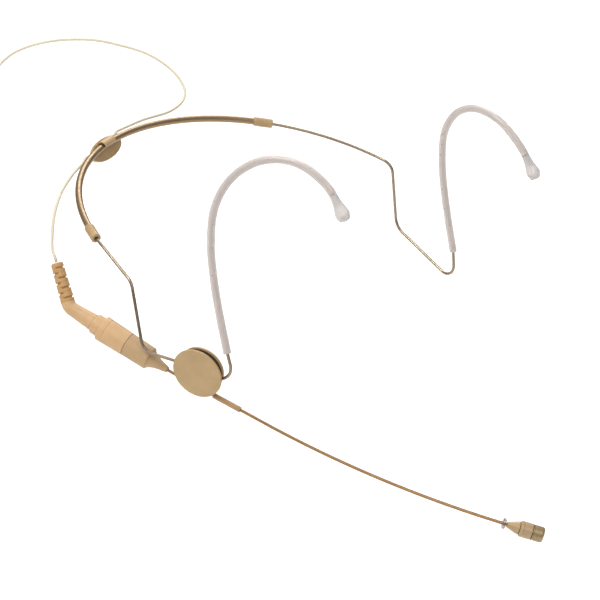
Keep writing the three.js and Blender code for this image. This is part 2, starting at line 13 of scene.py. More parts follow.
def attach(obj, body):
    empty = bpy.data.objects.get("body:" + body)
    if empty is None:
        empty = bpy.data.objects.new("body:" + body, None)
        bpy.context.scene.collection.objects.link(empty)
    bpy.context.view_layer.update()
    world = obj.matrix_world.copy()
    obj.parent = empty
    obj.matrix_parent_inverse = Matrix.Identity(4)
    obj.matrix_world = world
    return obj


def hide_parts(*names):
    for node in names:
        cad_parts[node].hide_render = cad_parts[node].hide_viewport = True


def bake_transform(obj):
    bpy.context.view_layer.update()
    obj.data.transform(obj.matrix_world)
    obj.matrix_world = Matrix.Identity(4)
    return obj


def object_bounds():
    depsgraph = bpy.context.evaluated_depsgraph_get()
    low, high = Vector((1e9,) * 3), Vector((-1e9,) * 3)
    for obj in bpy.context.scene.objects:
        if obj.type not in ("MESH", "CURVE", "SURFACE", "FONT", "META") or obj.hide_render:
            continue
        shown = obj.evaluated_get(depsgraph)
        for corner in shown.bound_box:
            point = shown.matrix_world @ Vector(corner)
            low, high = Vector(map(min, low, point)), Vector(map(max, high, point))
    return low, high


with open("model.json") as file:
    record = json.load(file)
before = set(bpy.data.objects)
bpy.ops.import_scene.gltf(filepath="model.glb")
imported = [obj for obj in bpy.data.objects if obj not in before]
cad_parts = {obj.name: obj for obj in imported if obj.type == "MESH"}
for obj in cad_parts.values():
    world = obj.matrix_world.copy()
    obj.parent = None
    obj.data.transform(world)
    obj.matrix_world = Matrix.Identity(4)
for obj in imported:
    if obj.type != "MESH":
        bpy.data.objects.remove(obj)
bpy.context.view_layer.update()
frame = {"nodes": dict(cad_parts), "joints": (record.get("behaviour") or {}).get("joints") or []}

MM = 0.001
joints = {joint["name"]: joint for joint in frame["joints"]}

# ---- driving dimensions ----
WIRE_R = 0.575
NECK_CENTRE = Vector(joints["right_extend"]["pos_m"]) / MM
NECK_TILT = math.atan2(-joints["right_extend"]["axis"][1], joints["right_extend"]["axis"][2])
NECK_R = 76.2
TUBE_R, TUBE_BORE = 1.3, 0.85
TUBE_END = {"right": 63.2, "left": -45.4}
CAP = {"r": 1.8, "beyond": 4.2, "over_tube": 3.4}
SIDES = {
    "right": {"sign": -1, "base": (-70, 19, -65), "yaw": 14, "lean": 6.6, "pitch": 0},
    "left": {"sign": 1, "base": (70, 18, -70.8), "yaw": 15.8, "lean": 8.9, "pitch": 9.9, "splay": 2.4},
}
SHOULDER = {"right": (84.6, 0.8, -2.7), "left": (-87.4, 0, 0)}
ARC_END = {"right": 70, "left": -82.4}
INNER_END_ANGLE = {"right": 27, "left": -19}
# A side's own places are (towards the head, backwards, up) from the lower end of the hook's sleeve.
KNEE = (1.4, 32.6, -4.7)
HEEL = (1.6, -2.9, -12.8)
RIGHT_KNEE_STEP = Vector((-3.33, -2.52, 1.71))
RIGHT_HEEL_STEP = Vector((0, 0, 1.1))
BEND_R = {"shoulder": 5, "knee": 6, "hub_entry": 9, "heel": 4.8}
# The ear hook as (forwards, up). Past point HOOK_TOP it may splay. The wire stops one step before the
# hook's end, and the sleeve two steps before it.
HOOK = [(0, 0), (-3.3, 12.6), (-6.1, 25.4), (-7.7, 38.3), (-6.7, 51.2), (-0.6, 62.3),
        (10.3, 69.5), (22.9, 70), (33.9, 63.6), (40.2, 54.2)]
HOOK_TOP, HOOK_STEPS, SLEEVE_STEPS = 6, 28, 26
SLEEVE = {"r": 1.42, "bore": 0.72, "tip_r": 2.5, "tip_length": 9.9}
HUB = {"r": 9.45, "back_r": 8.4, "from_heel": 14.2, "to_entry": 10.4, "face_forward": 10.84, "face_up": -8.7}
COVER = {"top": 2.1, "rim": 1.25, "inner": 0.75, "boss_r": 8.2, "back_top": -1.65, "back_bottom": -2.5}
BOOM = {"r": 0.57, "below": 6.88, "drop": 7.7, "lead": 26.6, "bend_r": 305, "bend_roll": 87.9,
        "curved": 91.7}
SOCKET = {"bend": -11.6, "forward": 0.6, "roll": -31.4, "turn": 3.8, "tip": -12.7, "front": -20.1,
          "seam": -29.9, "ring": -41.1, "collar": -44.4}
ELBOW = {"r": 2.5, "base_r": 3.1, "corner": -55.1, "turn": 42.2, "bend_r": 4.2, "straight": 1.9,
         "boot": 14.4}
CABLE_R = 0.55
COIL = {"r": 6.55, "rows": 5, "columns": 6, "pitch": 1.16, "tie_angle": 40,
        "centre": Vector((61.4, 271.8, -88)), "side": Vector((-0.6, 0.8, 0))}
JACK_DROP = 14

# The cable's route: from the boot to the neckband, past the clip as (angle on the tube, out, up), and on.
CABLE_ROUTE = [(-77.9, 91.8, -40.9), (-75, 94.3, -37.4), (-67.6, 99.8, -32.8), (-57.5, 105.9, -29.4),
               (-50.2, 109.5, -28), (-43, 112.7, -27)]
AT_CLIP = [(24, 2.3, -2.3), (20, 3, -2.9), (16.8, 2.9, -3.7), (13.8, 1.8, -4.3), (9.2, 1.8, -4.3),
           (5.6, 3.1, -3), (2.2, 4.1, -1)]
TAIL_ROUTE = [(-2, 126, -23.6), (12.5, 126.2, -23.2), (26.7, 125, -23.4), (37.5, 127.5, -23),
              (47.5, 133.6, -22.5), (56, 142, -22.2), (67.3, 156, -22.5), (78, 173.3, -23),
              (86, 190, -24), (91.5, 208.5, -25.5), (94, 222, -26.6), (91.4, 231.8, -27.2),
              (85.4, 239.8, -27.8), (79.4, 247.8, -30), (74, 255, -34), (69.8, 260.6, -40.5),
              (66.2, 265.4, -49.5), (64.2, 268.2, -58)]
# The cable's first two stretches are this long each.
STRETCH = 34

CAMERA = {"lens": 137.587, "azimuth": -53.17, "elevation": 22.56, "place_m": (-0.6327, -0.4336, 0.2548)}

UP = Vector((0, 0, 1))
X_AXIS = Vector((1, 0, 0))


# ---- camera ----
def add_camera():
    data = bpy.data.cameras.new("view")
    data.lens = CAMERA["lens"]
    data.sensor_width = 36
    data.clip_start, data.clip_end = 0.01, 50
    camera = bpy.data.objects.new("view", data)
    bpy.context.scene.collection.objects.link(camera)
    azimuth, elevation = math.radians(CAMERA["azimuth"]), math.radians(CAMERA["elevation"])
    back = Vector((math.sin(azimuth) * math.cos(elevation), -math.cos(azimuth) * math.cos(elevation),
                   math.sin(elevation)))
    camera.location = CAMERA["place_m"]
    camera.rotation_mode = "QUATERNION"
    camera.rotation_quaternion = (-back).to_track_quat("-Z", "Y")
    bpy.context.scene.camera = camera


# ---- places ----
def neck_point(angle, out=0.0, up=0.0):
    """A place by its angle round the tube's arc: 0 is behind the head, and the right is positive."""
    a = math.radians(angle)
    r = NECK_R + out
    flat = Vector((-r * math.sin(a), r * math.cos(a), up))
    return Matrix.Rotation(NECK_TILT, 3, "X") @ flat + NECK_CENTRE


def basis(x, y, z, origin):
    return Matrix.Translation(origin) @ Matrix((x, y, z)).transposed().to_4x4()


def neck_frame(angle):
    """x along the tube towards the wearer's left, y away from the head, z up."""
    x = (neck_point(angle - 0.5) - neck_point(angle + 0.5)).normalized()
    y = (neck_point(angle, 1) - neck_point(angle)).normalized()
    return basis(x, y, x.cross(y), neck_point(angle))


def side_matrix(side):
    """x towards the head, y backwards and z up, from the lower end of the hook's sleeve."""
    s = SIDES[side]
    turn = Matrix.Rotation(math.radians(s["yaw"]), 4, "Z")
    turn = turn @ Matrix.Rotation(math.radians(s["lean"]), 4, "Y")
    turn = turn @ Matrix.Rotation(math.radians(s["pitch"]), 4, "X")
    mirror = Matrix.Diagonal((-s["sign"], 1, 1, 1))
    return Matrix.Translation(s["base"]) @ mirror @ turn


def side_point(side, place):
    return side_matrix(side) @ Vector(place)


def heel_of(side):
    heel = side_point(side, HEEL)
    return heel + RIGHT_HEEL_STEP if side == "right" else heel


def wire_forward():
    return (side_point("right", HEEL) - side_point("right", KNEE)).normalized()


def hub_matrix():
    """x forwards along the wire, z out of the hub's face."""
    forward = wire_forward()
    a, e = math.radians(HUB["face_forward"]), math.radians(HUB["face_up"])
    face = Vector((-math.cos(e) * math.cos(a), -math.cos(e) * math.sin(a), math.sin(e)))
    face = (face - forward * face.dot(forward)).normalized()
    centre = heel_of("right") - forward * HUB["from_heel"]
    return basis(forward, face.cross(forward), face, centre)


def boom_matrix():
    place = Matrix.Translation((0, -BOOM["below"], 0))
    return hub_matrix() @ place @ Matrix.Rotation(-math.radians(BOOM["drop"]), 4, "Z")


def socket_turn():
    """The small bend between the boom's rear end and the socket."""
    roll = Matrix.Rotation(math.radians(SOCKET["roll"]), 4, "X")
    return roll @ Matrix.Rotation(-math.radians(SOCKET["turn"]), 4, "Z")


def socket_matrix():
    there = Matrix.Translation((SOCKET["bend"] + SOCKET["forward"], 0, 0))
    return boom_matrix() @ there @ socket_turn() @ Matrix.Translation((-SOCKET["bend"], 0, 0))


# ---- lines ----
def catmull_rom(points, steps):
    """Centripetal spline through points, with the same ends as three.js gives it."""
    ends = [points[0] * 2 - points[1], *points, points[-1] * 2 - points[-2]]
    out = []
    for p0, p1, p2, p3 in zip(ends, ends[1:], ends[2:], ends[3:]):
        d0, d1, d2 = ((b - a).length ** 0.5 for a, b in ((p0, p1), (p1, p2), (p2, p3)))
        t1 = ((p1 - p0) / d0 - (p2 - p0) / (d0 + d1) + (p2 - p1) / d1) * d1
        t2 = ((p2 - p1) / d1 - (p3 - p1) / (d1 + d2) + (p3 - p2) / d2) * d1
        for k in range(steps):
            t = k / steps
            a = t * t * t
            b = t * t
            out.append(p1 * (2 * a - 3 * b + 1) + t1 * (a - 2 * b + t)
                       + p2 * (3 * b - 2 * a) + t2 * (a - b))
    return out + [points[-1].copy()]


def rounded_path(corners, degrees=4):
    """Points (place, radius); a corner with a radius becomes an arc."""
    out = []
    for i, (p, r) in enumerate(corners):
        if not r:
            out.append(p)
            continue
        u = (corners[i - 1][0] - p).normalized()
        v = (corners[i + 1][0] - p).normalized()
        turn = math.pi - u.angle(v)
        centre = p + (u + v).normalized() * (r / math.cos(turn / 2))
        start = p + u * (r * math.tan(turn / 2)) - centre
        axis = v.cross(u).normalized()
        steps = max(2, round(math.degrees(turn) / degrees))
        for k in range(steps + 1):
            out.append(centre + Matrix.Rotation(turn * k / steps, 3, axis) @ start)
    return out


class Line:
    """A line through points, with a frame carried along it untwisted."""

    def __init__(self, points, normal=None):
        self.points = [Vector(p) for p in points]
        self.lengths = [0.0]
        for a, b in zip(self.points, self.points[1:]):
            self.lengths.append(self.lengths[-1] + (b - a).length)
        steps = [(b - a).normalized() for a, b in zip(self.points, self.points[1:])]
        self.tangents = [steps[0]]
        self.tangents += [(a + b).normalized() for a, b in zip(steps, steps[1:])]
        self.tangents.append(steps[-1])
        first = Vector(normal) if normal else self.tangents[0].orthogonal()
        self.normals = []
        for tangent in self.tangents:
            first = (first - tangent * first.dot(tangent)).normalized()
            self.normals.append(first)

    @property
    def length(self):
        return self.lengths[-1]

    def at(self, s):
        i = min(max(bisect_right(self.lengths, s) - 1, 0), len(self.points) - 2)
        t = (s - self.lengths[i]) / (self.lengths[i + 1] - self.lengths[i])
        inside = min(max(t, 0.0), 1.0)
        tangent = self.tangents[i].lerp(self.tangents[i + 1], inside).normalized()
        normal = self.normals[i].lerp(self.normals[i + 1], inside)
        normal = (normal - tangent * normal.dot(tangent)).normalized()
        return self.points[i].lerp(self.points[i + 1], t), normal, tangent.cross(normal)

    def part(self, start, end, step):
        count = max(2, round((end - start) / step))
        return Line([self.at(start + (end - start) * k / count)[0] for k in range(count + 1)])


def straight(place):
    """The x axis of a frame as a line, whose distance 0 is at the frame's origin."""
    x, y = place.to_3x3().col[0], place.to_3x3().col[1]
    line = Line([place.translation, place.translation + x], y)
    line.lengths = [0.0, 1.0]
    return line


# ---- meshes ----
def new_object(name, mesh, material, body, nodes=(), sharp=38):
    mesh.shade_smooth()
    mesh.set_sharp_from_angle(angle=math.radians(sharp))
    mesh.materials.append(material)
    piece = bpy.data.objects.new(name, mesh)
    bpy.context.scene.collection.objects.link(piece)
    if body:
        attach(piece, body)
    if nodes:
        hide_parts(*nodes)
    return piece


def skin_mesh(name, rings, closed=False, around=None):
    """Joins rings of points; a ring of one point is a pole, and closed joins the last ring to the first."""
    vertices, starts = [], []
    for ring in rings:
        starts.append(len(vertices))
        vertices.extend(p * MM for p in ring)
    faces, uvs = [], []
    pairs = list(range(len(rings) - 1)) + ([len(rings) - 1] if closed else [])
    along = around or [float(i) for i in range(len(rings))]
    for i in pairs:
        j = (i + 1) % len(rings)
        na, nb = len(rings[i]), len(rings[j])
        n = max(na, nb)
        va, vb = along[i], along[j]
        for k in range(n):
            q = (k + 1) % n
            a0, a1, b0, b1 = starts[i] + k, starts[i] + q, starts[j] + k, starts[j] + q
            u0, u1 = k / n, (k + 1) / n
            if na == 1 and nb == 1:
                continue
            if na == 1:
                faces.append((starts[i], b1, b0))
                uvs += [(u0, va), (u1, vb), (u0, vb)]
            elif nb == 1:
                faces.append((a0, a1, starts[j]))
                uvs += [(u0, va), (u1, va), (u0, vb)]
            else:
                faces.append((a0, a1, b1, b0))
                uvs += [(u0, va), (u1, va), (u1, vb), (u0, vb)]
    mesh = bpy.data.meshes.new(name)
    mesh.from_pydata(vertices, [], faces)
    layer = mesh.uv_layers.new(name="UVMap")
    layer.data.foreach_set("uv", [x for uv in uvs for x in uv])
    mesh.validate()
    return mesh


def rounded(profile, fillet, steps=4):
    """A profile with each corner eased by a small curve; ends on the axis stay."""
    points = [Vector(p[:2]) for p in profile]
    out = []
    for i, p in enumerate(points):
        size = profile[i][2] if len(profile[i]) > 2 else fillet
        if i in (0, len(points) - 1) or size == 0 or p.y == 0:
            out.append(tuple(p))
            continue
        a, b = points[i - 1] - p, points[i + 1] - p
        reach = min(size, a.length * 0.45, b.length * 0.45)
        start, end = p + a.normalized() * reach, p + b.normalized() * reach
        for k in range(steps + 1):
            t = k / steps
            q = start * (1 - t) ** 2 + p * (2 * t * (1 - t)) + end * t ** 2
            out.append(tuple(q))
    return out


def along(name, line, profile, material, body, nodes=(), slot=None, sides=48, step=0.6, radius=None,
          closed=False, sharp=38):
    """A turned shape on a line: profile points are (distance along it, radius)."""
    stations = [profile[0]]
    pairs = list(zip(profile, profile[1:])) + ([(profile[-1], profile[0])] if closed else [])
    for (s0, r0), (s1, r1) in pairs:
        count = max(1, math.ceil(abs(s1 - s0) / step))
        stations += [(s0 + (s1 - s0) * k / count, r0 + (r1 - r0) * k / count) for k in range(1, count + 1)]
    if closed:
        stations.pop()
    rings = []
    for s, r in stations:
        centre, n, b = line.at(s)
        if r == 0:
            rings.append([centre])
            continue
        ring = []
        for k in range(sides):
            a = 2 * math.pi * k / sides
            size = radius(s, a, r) if radius else r
            ring.append(centre + (n * math.cos(a) + b * math.sin(a)) * size)
        rings.append(ring)
    mesh = skin_mesh(name, rings, closed, [s * MM for s, _ in stations])
    return new_object(name, mesh, material, body, nodes, sharp)


def pipe_profile(start, end, r, bore, fillet=0.12):
    corners = [(start, bore), (start, r), (end, r), (end, bore)]
    out = []
    for i, (s, q) in enumerate(corners):
        before, after = Vector(corners[i - 1]), Vector(corners[(i + 1) % 4])
        p = Vector((s, q))
        a, b = (before - p).normalized() * fillet, (after - p).normalized() * fillet
        out += [tuple(p + a), tuple(p + (a + b) * 0.3), tuple(p + b)]
    return out


def rod_profile(start, end, r, fillet=0.15):
    return rounded([(start, 0), (start, r), (end, r), (end, 0)], fillet)


# ---- materials ----
def srgb(code):
    parts = [(code >> shift & 255) / 255 for shift in (16, 8, 0)]
    return tuple(c / 12.92 if c < 0.04045 else ((c + 0.055) / 1.055) ** 2.4 for c in parts) + (1.0,)


class Finish:
    """A Principled material with helpers for its nodes."""

    def __init__(self, name, **sockets):
        self.material = bpy.data.materials.new(name)
        self.material.use_nodes = True
        self.tree = self.material.node_tree
        self.shader = self.tree.nodes["Principled BSDF"]
        for label, value in sockets.items():
            self.shader.inputs[label.replace("_", " ").title().replace("Ior", "IOR")].default_value = value

    def node(self, kind, inputs=None, **settings):
        made = self.tree.nodes.new("ShaderNode" + kind)
        for key, value in settings.items():
            setattr(made, key, value)
        for key, value in (inputs or {}).items():
            if isinstance(value, bpy.types.NodeSocket):
                self.tree.links.new(value, made.inputs[key])
            else:
                made.inputs[key].default_value = value
        return made

    def link(self, output, label):
        self.tree.links.new(output, self.shader.inputs[label])

    def noise(self, scale, detail=3.0, stretch=None, uv=False, roughness=0.5):
        coordinates = self.node("TexCoord").outputs["UV" if uv else "Object"]
        if stretch:
            coordinates = self.node("Mapping", {"Vector": coordinates, "Scale": stretch}).outputs[0]
        return self.node("TexNoise", {"Vector": coordinates, "Scale": scale, "Detail": detail,
                                      "Roughness": roughness}).outputs["Fac"]

    def between(self, factor, low, high, start=0.3, end=0.7):
        return self.node("MapRange", {"Value": factor, "From Min": start, "From Max": end,
                                      "To Min": low, "To Max": high}).outputs["Result"]

    def blend(self, factor, first, second, mode="MIX"):
        mix = self.node("Mix", data_type="RGBA", blend_type=mode)
        for slot, value in zip((0, 6, 7), (factor, first, second)):
            if isinstance(value, bpy.types.NodeSocket):
                self.tree.links.new(value, mix.inputs[slot])
            else:
                mix.inputs[slot].default_value = value
        return mix.outputs[2]

    def bump(self, height, strength, distance, normal=None):
        inputs = {"Height": height, "Strength": strength, "Distance": distance * MM}
        if normal:
            inputs["Normal"] = normal
        return self.node("Bump", inputs).outputs["Normal"]


def shade(colour, amount):
    return tuple(c * amount for c in colour[:3]) + (1.0,)


def moulded(name, code, rough=0.5, grain=2600, height=0.05, vary=0.09, **sockets):
    """Moulded plastic or rubber: a soft colour drift, fine mould grain and a few faint handling marks."""
    f = Finish(name, **sockets)
    base = srgb(code)
    drift = f.noise(140, 4)
    fine = f.noise(grain, 2)
    colour = f.blend(f.between(drift, 0, 1), shade(base, 1 - vary), shade(base, 1 + vary))
    speck = f.between(f.noise(grain * 0.5, 1), 0, 0.22, 0.62, 0.8)
    f.link(f.blend(speck, colour, shade(base, 0.72)), "Base Color")
    f.link(f.between(f.noise(420, 3), rough - 0.07, rough + 0.09), "Roughness")
    wide = f.bump(drift, 0.25, height * 2)
    f.link(f.bump(fine, 0.5, height, wide), "Normal")
    return f.material


def drawn_metal(name, code, rough=0.32, lines=900, vary=0.14, height=0.012, **sockets):
    """Drawn or turned metal: fine lines that run along the piece, darker handling patches, small pits."""
    f = Finish(name, metallic=0.92, **sockets)
    base = srgb(code)
    streak = f.noise(1, 3, (22, lines, 1), uv=True)
    patch = f.noise(95, 4)
    colour = f.blend(f.between(patch, 0, 1), shade(base, 1 - vary), shade(base, 1 + vary * 0.6))
    f.link(f.blend(f.between(streak, 0, 0.35), colour, shade(base, 0.7)), "Base Color")
    f.link(f.between(f.noise(600, 3), rough - 0.08, rough + 0.12), "Roughness")
    pits = f.bump(f.noise(3200, 2), 0.25, height)
    f.link(f.bump(streak, 0.35, height, pits), "Normal")
    return f.material


def clear_silicone(name, code, cloud=0.3, rough=0.32, clear=0.5):
    """Milky clear silicone: the wire shows through a smooth skin with faint clouds and ripples."""
    f = Finish(name, transmission_weight=clear, ior=1.41, coat_weight=0.1)
    base = srgb(code)
    f.link(f.blend(f.between(f.noise(260, 3), 0, 1), base, shade(base, 1 - 0.2 * cloud)), "Base Color")
    f.link(f.between(f.noise(700, 3), rough - 0.05, rough + 0.09), "Roughness")
    ripple = f.bump(f.noise(120, 2), 0.12, 0.04)
    f.link(f.bump(f.noise(2400, 2), 0.15, 0.008, ripple), "Normal")
    return f.material


def hook_and_loop(name, code):
    """The tie's felted loop pile: dense short hairs as bump, with lighter and darker tufts."""
    f = Finish(name, sheen_weight=0.35)
    base = srgb(code)
    tufts = f.node("TexVoronoi", {"Scale": 2600}).outputs["Distance"]
    f.link(f.blend(f.between(tufts, 0, 1, 0.1, 0.6), shade(base, 0.6), shade(base, 1.8)), "Base Color")
    f.link(f.between(f.noise(1500, 3), 0.8, 0.98), "Roughness")
    f.link(f.bump(tufts, 0.8, 0.12), "Normal")
    return f.material


TAN = moulded("tan_plastic", 0xA3875D, 0.5)
TAN_DARK = moulded("socket_plastic", 0xA38660, 0.5)
PEACH = moulded("peach_plastic", 0xB7946A, 0.48)
RUBBER = moulded("peach_rubber", 0xAB8454, 0.58, 3200, 0.07)
CAP_TAN = moulded("cap_plastic", 0x9E8259, 0.46)
SLEEVE_COPPER = moulded("sleeve_copper", 0x98754D, 0.36, coat_weight=0.3)
CAPSULE = moulded("capsule_paint", 0x9A805B, 0.38, 1800, 0.02, coat_weight=0.25)
BOOM_PAINT = drawn_metal("boom_paint", 0x9A7853, 0.3, vary=0.06)
BRONZE = drawn_metal("bronze_tube", 0x8F785B, 0.36, vary=0.06)
STEEL = drawn_metal("spring_wire", 0x8F7F6C, 0.28)
NICKEL = drawn_metal("nickel", 0xB9B5AC, 0.24)
GOLD = drawn_metal("gold_plate", 0xD4AF63, 0.2)
BRASS = drawn_metal("cap_brass", 0x978465, 0.4)
CLEAR = clear_silicone("clear_silicone", 0xDDD3CD)
RING_CLEAR = clear_silicone("ring_silicone", 0xBDAD9C, 0.6, 0.16, 0.8)
WHITE = clear_silicone("white_silicone", 0xD8D2CE, 0.3, 0.32, 0.45)
JACKET = moulded("cream_jacket", 0xBFB49B, 0.45, 3000, 0.03, 0.04)
DARK = moulded("dark_plastic", 0x3A342E, 0.5)
FELT = hook_and_loop("tie_pile", 0x2F2C2A)


# ---- cable ----
coil_axis = Vector((COIL["side"].y, -COIL["side"].x, 0))
coil_outer_r = COIL["r"] + (COIL["rows"] - 1) * COIL["pitch"] / 2
coil_half_width = (COIL["columns"] - 1) * COIL["pitch"] / 2


def in_coil(across, up, axial):
    return COIL["centre"] + COIL["side"] * across + UP * up + coil_axis * axial


def ease(t):
    t = min(max(t, 0.0), 1.0)
    return t * t * (3 - 2 * t)


def coil_places():
    """(column, row) of each turn: down one column to the inside, up the next, and so on."""
    rows = range(COIL["rows"])
    return [(column, row) for column in range(COIL["columns"])
            for row in (reversed(rows) if column % 2 == 0 else rows)]


def coil_points(per_turn=30, start=22, cross_from=0.62, cross_to=0.84, swell=0.42):
    """The turns as points. Each turn keeps its row and column, then crosses to the next place."""
    places = coil_places()
    first, last = start / 360, len(places) + 0.25
    count = round((last - first) * per_turn)
    out = []
    for k in range(count + 1):
        turns = first + (last - first) * k / count
        n = min(int(turns), len(places) - 1)
        column, row = places[n]
        share = turns - n
        next_column, next_row = places[min(n + 1, len(places) - 1)]
        t = ease((share - cross_from) / (cross_to - cross_from))
        bulge = swell * math.sin(math.pi * t) * (next_column - column) * (1 if row else -1)
        r = coil_outer_r + COIL["pitch"] * (row + (next_row - row) * t - COIL["rows"] + 1) + bulge
        axial = COIL["pitch"] * (column + (next_column - column) * t) - coil_half_width
        a = 2 * math.pi * turns
        out.append(in_coil(r * math.sin(a), r * math.cos(a), axial))
    return out


def boot_frame():
    a = math.radians(180 - ELBOW["turn"])
    along_boot = Vector((math.cos(a), math.sin(a), 0))
    return Vector((ELBOW["corner"], 0, 0)), along_boot, a


def cable_line():
    corner, axis, _ = boot_frame()
    place = socket_matrix()
    out_of_boot = [place @ (corner + axis * (ELBOW["straight"] + ELBOW["boot"] + gap)) for gap in (0.3, 2.5)]
    top = coil_outer_r
    into_coil = [in_coil(across, top + up, -coil_half_width)
                 for across, up in ((-3.4, 9), (-3.4, 4.6), (-2.9, 2.4), (-1.7, 1.1))]
    to_jack = [in_coil(coil_outer_r, -drop, coil_half_width) for drop in (1.4, 5, 10, JACK_DROP)]
    route = [Vector(p) for p in CABLE_ROUTE]
    route += [neck_point(*p) for p in AT_CLIP]
    route += [Vector(p) for p in TAIL_ROUTE]
    return Line(catmull_rom([*out_of_boot, *route, *into_coil, *coil_points(), *to_jack], 4))


def add_cable():
    line = cable_line()
    ends = [0.0, STRETCH, 2 * STRETCH, line.length]
    names = ["cable_lower", "cable_middle", "cable_tail"]
    nodes = [["cable_lower"], ["cable_middle"], ["cable_tail", "cable_coil", "cable_end"]]
    turn_points = [line.at(s)[0] * MM for s in (0, STRETCH, 2 * STRETCH, 3 * STRETCH)]
    pieces = []
    for i, name in enumerate(names):
        part = line.part(ends[i], ends[i + 1], 0.9 if i < 2 else 1.1)
        profile = [(0, 0), (0, CABLE_R * 0.96), (0.03, CABLE_R), (part.length - 0.03, CABLE_R),
                   (part.length, CABLE_R * 0.96), (part.length, 0)]
        piece = along(name, part, profile, JACKET, None, sides=14, step=1.1)
        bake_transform(piece)
        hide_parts(*nodes[i])
        pieces.append((piece, part))
    return pieces


add_camera()
cable_pieces = add_cable()


# ---- neckband ----
def arc_points(start, end, step=0.6):
    count = math.ceil(abs(end - start) / step)
    return [neck_point(start + (end - start) * k / count) for k in range(count + 1)]


def add_neckband():
    line = Line(arc_points(TUBE_END["left"], TUBE_END["right"]), UP)
    along("neckband_tube", line, pipe_profile(0, line.length, TUBE_R, TUBE_BORE), BRONZE, "neckband",
          ["neckband_tube"], "bronze_tube", sides=32, step=0.9, closed=True)
    for side in SIDES:
        place = neck_frame(TUBE_END[side])
        x, y = place.to_3x3().col[0] * SIDES[side]["sign"], place.to_3x3().col[1]
        frame_out = basis(x, y, x.cross(y), place.translation)
        over, beyond, r = -CAP["over_tube"], CAP["beyond"], CAP["r"]
        grooves = [(middle + step, r - depth, 0.02) for middle in (-1.7, -0.6, 0.5, 1.6)
                   for step, depth in ((-0.16, 0), (-0.06, 0.11), (0.06, 0.11), (0.16, 0))]
        profile = rounded([(over, TUBE_R + 0.05), (over, r - 0.25), (over + 0.5, r), *grooves,
                           (beyond, r, 0.75), (beyond, TUBE_BORE - 0.1, 0.15), (1.9, TUBE_BORE - 0.1),
                           (1.9, TUBE_R + 0.05), (over, TUBE_R + 0.05)], 0.18)[:-1]
        along(f"end_cap_{side}", straight(frame_out), profile, CAP_TAN, "neckband", [f"end_cap_{side}"],
              "tan_plastic", sides=40, step=0.7, closed=True)


# ---- wires, sleeves and tips ----
def hook_line(side):
    """The line of an ear hook, which bows away from the head past its top on a splayed side."""
    bow = SIDES[side].get("splay", 0)
    last = len(HOOK) - 1 - HOOK_TOP
    points = [side_point(side, (-bow * (max(0, i - HOOK_TOP) / last) ** 2, -forward, up))
              for i, (forward, up) in enumerate(HOOK)]
    return Line(catmull_rom(points, 24))


def wire_points(side):
    """The whole wire, from its end inside the tube to its end in the ear tip."""
    in_tube = [(p, 0) for p in arc_points(INNER_END_ANGLE[side], ARC_END[side], 1.0)]
    knee = side_point(side, KNEE)
    heel = heel_of(side)
    corners = [*in_tube, (neck_point(*SHOULDER[side]), BEND_R["shoulder"])]
    if side == "right":
        entry = heel - wire_forward() * (HUB["from_heel"] + HUB["to_entry"])
        corners += [(knee + RIGHT_KNEE_STEP, BEND_R["knee"]), (entry, BEND_R["hub_entry"])]
    else:
        corners.append((knee, BEND_R["knee"]))
    corners.append((heel, BEND_R["heel"]))
    hook = hook_line(side)
    end = hook.length * (HOOK_STEPS - 1) / HOOK_STEPS
    corners += [(p, 0) for p in hook.part(0, end, 1.2).points]
    return rounded_path(corners)


def add_side(side):
    body = f"{side}_side"
    wire = Line(wire_points(side))
    along(f"{side}_wire", wire, rod_profile(0, wire.length, WIRE_R, 0.2), STEEL, body, [f"{side}_wire"],
          "spring_wire", sides=20, step=0.8)
    hook = hook_line(side)
    sleeve_end = hook.length * SLEEVE_STEPS / HOOK_STEPS
    along(f"{side}_ear_sleeve", hook, pipe_profile(0, sleeve_end, SLEEVE["r"], SLEEVE["bore"], 0.2), CLEAR,
          body, [f"{side}_ear_sleeve"], "clear_silicone", sides=36, step=0.8, closed=True)
    seat = hook.at(sleeve_end)[0]
    ahead = (hook.at(hook.length)[0] - seat).normalized()
    wire_room = (hook.at(hook.length * (HOOK_STEPS - 1) / HOOK_STEPS)[0] - seat).length + 0.5
    tip = Line([seat, seat + ahead * SLEEVE["tip_length"]])
    outside = catmull_rom([Vector(p + (0,)) for p in (
        (0.05, 1.38), (2, 1.5), (4, 1.8), (6, 2.3), (7.5, SLEEVE["tip_r"]), (8.9, 2.05))], 5)
    nose = [(8.9 + 1.0 * math.sin(a), 2.05 * math.cos(a)) for a in (0.25, 0.5, 0.75, 1.0, 1.25, 1.45)]
    profile = [(0.05, 0.78), *[(p.x, p.y) for p in outside], *nose, (SLEEVE["tip_length"], 0)]
    inside = [(wire_room, 0), (wire_room, 0.78), (0.3, 0.78)]
    along(f"{side}_ear_tip", tip, profile, WHITE, body, [f"{side}_ear_tip"], "white_silicone", sides=36,
          step=0.5)
    along(f"{side}_tip_bore", tip, inside, WHITE, body, (), "white_silicone", sides=16, step=0.5)


# ---- hub ----
def hub_axis_frame(hub):
    """The hub's frame turned so that its x axis is the hub's own axis."""
    m = hub.to_3x3()
    return basis(m.col[2], m.col[0], m.col[1], hub.translation)


